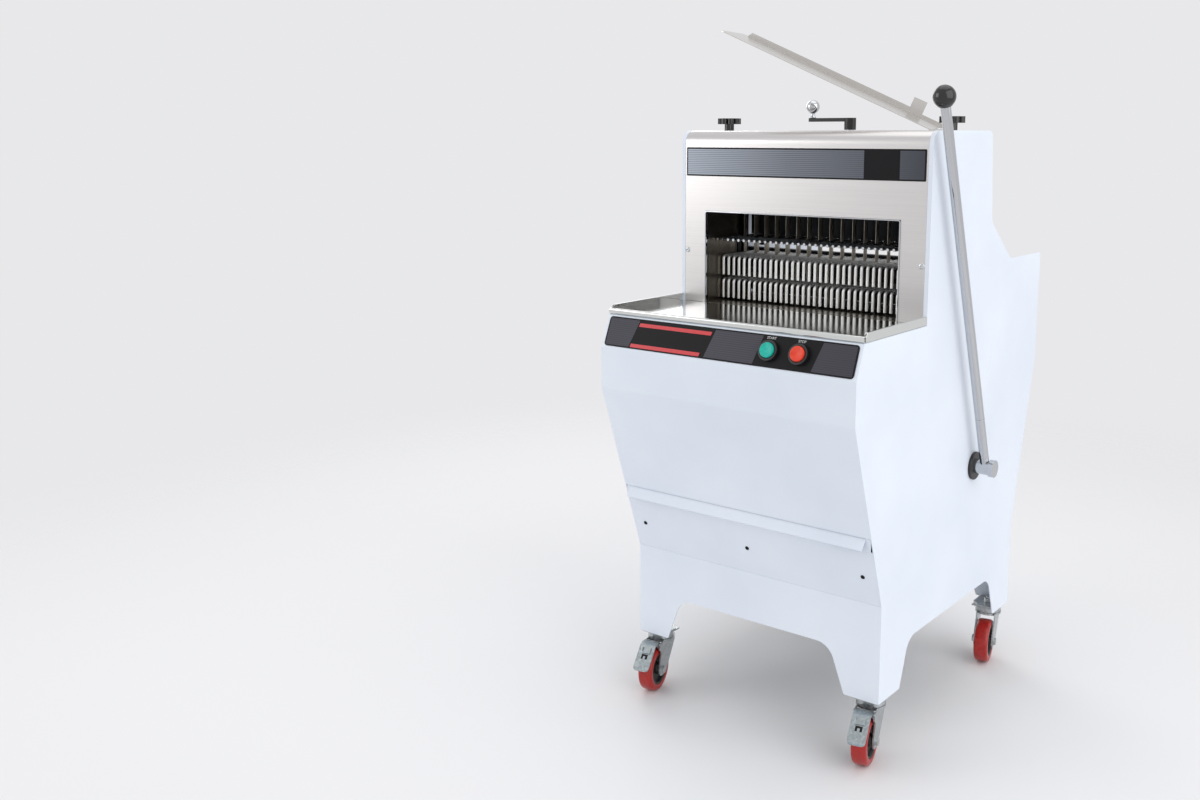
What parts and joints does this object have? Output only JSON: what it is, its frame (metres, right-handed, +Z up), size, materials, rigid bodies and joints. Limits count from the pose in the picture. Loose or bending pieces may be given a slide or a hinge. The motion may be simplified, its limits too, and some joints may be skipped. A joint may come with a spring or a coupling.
{
  "type": "bread slicer machine",
  "caption": "Floor-standing bread slicer on casters: white cabinet, stainless hood and outfeed tray, hand lever driving a pusher comb through reciprocating knives, roof bagging scoop.",
  "frame": {"origin": "on the floor, under the middle of the whole machine's bounding box", "axes": "+X to the machine's right side where the lever is, +Y to its rear, +Z up"},
  "size_m": [0.649, 0.8922, 1.4568],
  "materials": {
    "white_paint": "fine textured white powder coat",
    "stainless": "brushed stainless",
    "polished": "polished stainless",
    "chrome": "polished chrome plate",
    "steel": "machined steel",
    "zinc": "zinc plated",
    "black_plastic": "moulded black plastic",
    "fascia_film": "printed black film on sheet",
    "label_film": "ribbed dark film",
    "start_green": "turquoise-green cap",
    "stop_red": "red cap",
    "guide_plastic": "natural guide plastic",
    "dark_steel": "dark painted steel",
    "motor_paint": "grey-blue motor paint",
    "belt_rubber": "drive belt rubber",
    "pulley_iron": "turned cast iron",
    "red_tread": "red polyurethane",
    "pedal_grey": "grey brake pedal"
  },
  "bodies": {
    "cabinet": {"left_side_panel": "white_paint", "right_side_panel": "white_paint", "front_panel": "white_paint", "lower_front_panel": "white_paint", "aprons": "white_paint", "rear_panel": "white_paint", "base_plates": "zinc", "caster_stems": "zinc", "fascia": "fascia_film", "button_bezels": "black_plastic", "screws": "steel", "hood_cover": "stainless", "hood_rear": "white_paint", "label_band": "label_film", "feed_channel": "polished", "outfeed_tray": "polished", "rear_table": "stainless", "inner_brackets": "dark_steel", "bagging_scoop": "stainless", "upper_beam": "dark_steel", "guide_blocks": "guide_plastic", "motor": "motor_paint", "belt": "belt_rubber", "bearings": "pulley_iron", "pusher_rails": "steel", "lever_collar": "black_plastic", "tray_runners": "zinc", "cable_gland": "black_plastic"},
    "front_knives": {"front_knife_frame": "steel", "front_blades": "stainless"},
    "rear_knives": {"rear_knife_frame": "steel", "rear_blades": "stainless"},
    "crankshaft": {"crankshaft": "steel", "driven_pulley": "pulley_iron"},
    "motor_pulley": {"motor_pulley": "pulley_iron"},
    "hand_crank": {"spindle": "steel", "hand_crank": "black_plastic", "crank_ball": "chrome"},
    "hold_down": {"hold_down": "polished"},
    "left_star_knob": {"left_star_knob": "black_plastic"},
    "right_star_knob": {"right_star_knob": "black_plastic"},
    "lever": {"lever_shaft": "steel", "lever_hub": "chrome", "lever_rod": "chrome", "lever_ball": "black_plastic"},
    "pusher": {"pusher_fingers": "polished", "pusher_carriage": "steel"},
    "start_button": {"start_button": "start_green"},
    "stop_button": {"stop_button": "stop_red"},
    "crumb_tray": {"crumb_tray": "white_paint"},
    "front_left_fork": {"front_left_fork": "zinc"},
    "front_left_wheel": {"front_left_wheel": "red_tread"},
    "front_left_pedal": {"front_left_pedal": "pedal_grey"},
    "front_right_fork": {"front_right_fork": "zinc"},
    "front_right_wheel": {"front_right_wheel": "red_tread"},
    "front_right_pedal": {"front_right_pedal": "pedal_grey"},
    "rear_left_fork": {"rear_left_fork": "zinc"},
    "rear_left_wheel": {"rear_left_wheel": "red_tread"},
    "rear_right_fork": {"rear_right_fork": "zinc"},
    "rear_right_wheel": {"rear_right_wheel": "red_tread"}
  },
  "joints": [
    {"name": "front_knives_slide", "type": "slide", "parent": "cabinet", "child": "front_knives", "axis": [0, 0, 1], "range_m": [-0.015, 0.015]},
    {"name": "rear_knives_slide", "type": "slide", "parent": "cabinet", "child": "rear_knives", "axis": [0, 0, 1], "range_m": [-0.015, 0.015]},
    {"name": "crankshaft_spin", "type": "hinge", "parent": "cabinet", "child": "crankshaft", "pos_m": [-0.0245, -0.00093, 0.345], "axis": [1, 0, 0], "continuous": true},
    {"name": "motor_spin", "type": "hinge", "parent": "cabinet", "child": "motor_pulley", "pos_m": [0.1255, 0.24207, 0.345], "axis": [1, 0, 0], "continuous": true},
    {"name": "crank_turn", "type": "hinge", "parent": "cabinet", "child": "hand_crank", "pos_m": [-0.0245, 0.05707, 1.245], "axis": [0, 0, 1], "range_deg": [-1170, 2520]},
    {"name": "hold_down_slide", "type": "slide", "parent": "cabinet", "child": "hold_down", "axis": [0, 0, 1], "range_m": [-0.026, 0.056]},
    {"name": "left_knob_turn", "type": "hinge", "parent": "cabinet", "child": "left_star_knob", "pos_m": [-0.2965, -0.01593, 1.245], "axis": [0, 0, 1], "continuous": true},
    {"name": "right_knob_turn", "type": "hinge", "parent": "cabinet", "child": "right_star_knob", "pos_m": [0.2475, -0.01593, 1.245], "axis": [0, 0, 1], "continuous": true},
    {"name": "lever_swing", "type": "hinge", "parent": "cabinet", "child": "lever", "pos_m": [0.3025, 0.10607, 0.523], "axis": [-1, 0, 0], "range_deg": [0, 59.9]},
    {"name": "pusher_slide", "type": "slide", "parent": "cabinet", "child": "pusher", "axis": [0, 1, 0], "range_m": [0, 0.34]},
    {"name": "start_press", "type": "slide", "parent": "cabinet", "child": "start_button", "axis": [0, 0.9255, -0.3786], "range_m": [0, 0.004], "stiffness_N_per_m": 400},
    {"name": "stop_press", "type": "slide", "parent": "cabinet", "child": "stop_button", "axis": [0, 0.9255, -0.3786], "range_m": [0, 0.004], "stiffness_N_per_m": 400},
    {"name": "crumb_tray_slide", "type": "slide", "parent": "cabinet", "child": "crumb_tray", "axis": [0, -1, 0], "range_m": [0, 0.3]},
    {"name": "front_left_swivel", "type": "hinge", "parent": "cabinet", "child": "front_left_fork", "pos_m": [-0.2915, -0.27993, 0.128], "axis": [0, 0, 1], "continuous": true},
    {"name": "front_left_roll", "type": "hinge", "parent": "front_left_fork", "child": "front_left_wheel", "pos_m": [-0.2836, -0.3171, 0.05], "axis": [0.9781, 0.2079, 0], "continuous": true},
    {"name": "front_left_brake", "type": "hinge", "parent": "front_left_fork", "child": "front_left_pedal", "pos_m": [-0.2821, -0.32414, 0.107], "axis": [0.9781, 0.2079, 0], "range_deg": [0, 8]},
    {"name": "front_right_swivel", "type": "hinge", "parent": "cabinet", "child": "front_right_fork", "pos_m": [0.2425, -0.27993, 0.128], "axis": [0, 0, 1], "continuous": true},
    {"name": "front_right_roll", "type": "hinge", "parent": "front_right_fork", "child": "front_right_wheel", "pos_m": [0.2504, -0.3171, 0.05], "axis": [0.9781, 0.2079, 0], "continuous": true},
    {"name": "front_right_brake", "type": "hinge", "parent": "front_right_fork", "child": "front_right_pedal", "pos_m": [0.2519, -0.32414, 0.107], "axis": [0.9781, 0.2079, 0], "range_deg": [0, 8]},
    {"name": "rear_left_swivel", "type": "hinge", "parent": "cabinet", "child": "rear_left_fork", "pos_m": [-0.2915, 0.31607, 0.128], "axis": [0, 0, 1], "continuous": true},
    {"name": "rear_left_roll", "type": "hinge", "parent": "rear_left_fork", "child": "rear_left_wheel", "pos_m": [-0.2836, 0.2789, 0.05], "axis": [0.9781, 0.2079, 0], "continuous": true},
    {"name": "rear_right_swivel", "type": "hinge", "parent": "cabinet", "child": "rear_right_fork", "pos_m": [0.2425, 0.31607, 0.128], "axis": [0, 0, 1], "continuous": true},
    {"name": "rear_right_roll", "type": "hinge", "parent": "rear_right_fork", "child": "rear_right_wheel", "pos_m": [0.2504, 0.2789, 0.05], "axis": [0.9781, 0.2079, 0], "continuous": true}
  ],
  "couplings": [
    {"joint": "rear_knives_slide", "follows": "front_knives_slide", "ratio": -1},
    {"joint": "motor_spin", "follows": "crankshaft_spin", "ratio": 2.7455},
    {"joint": "hold_down_slide", "follows": "crank_turn", "m_per_rad": 0.0012732},
    {"joint": "pusher_slide", "follows": "lever_swing", "m_per_rad": 0.32518}
  ]
}
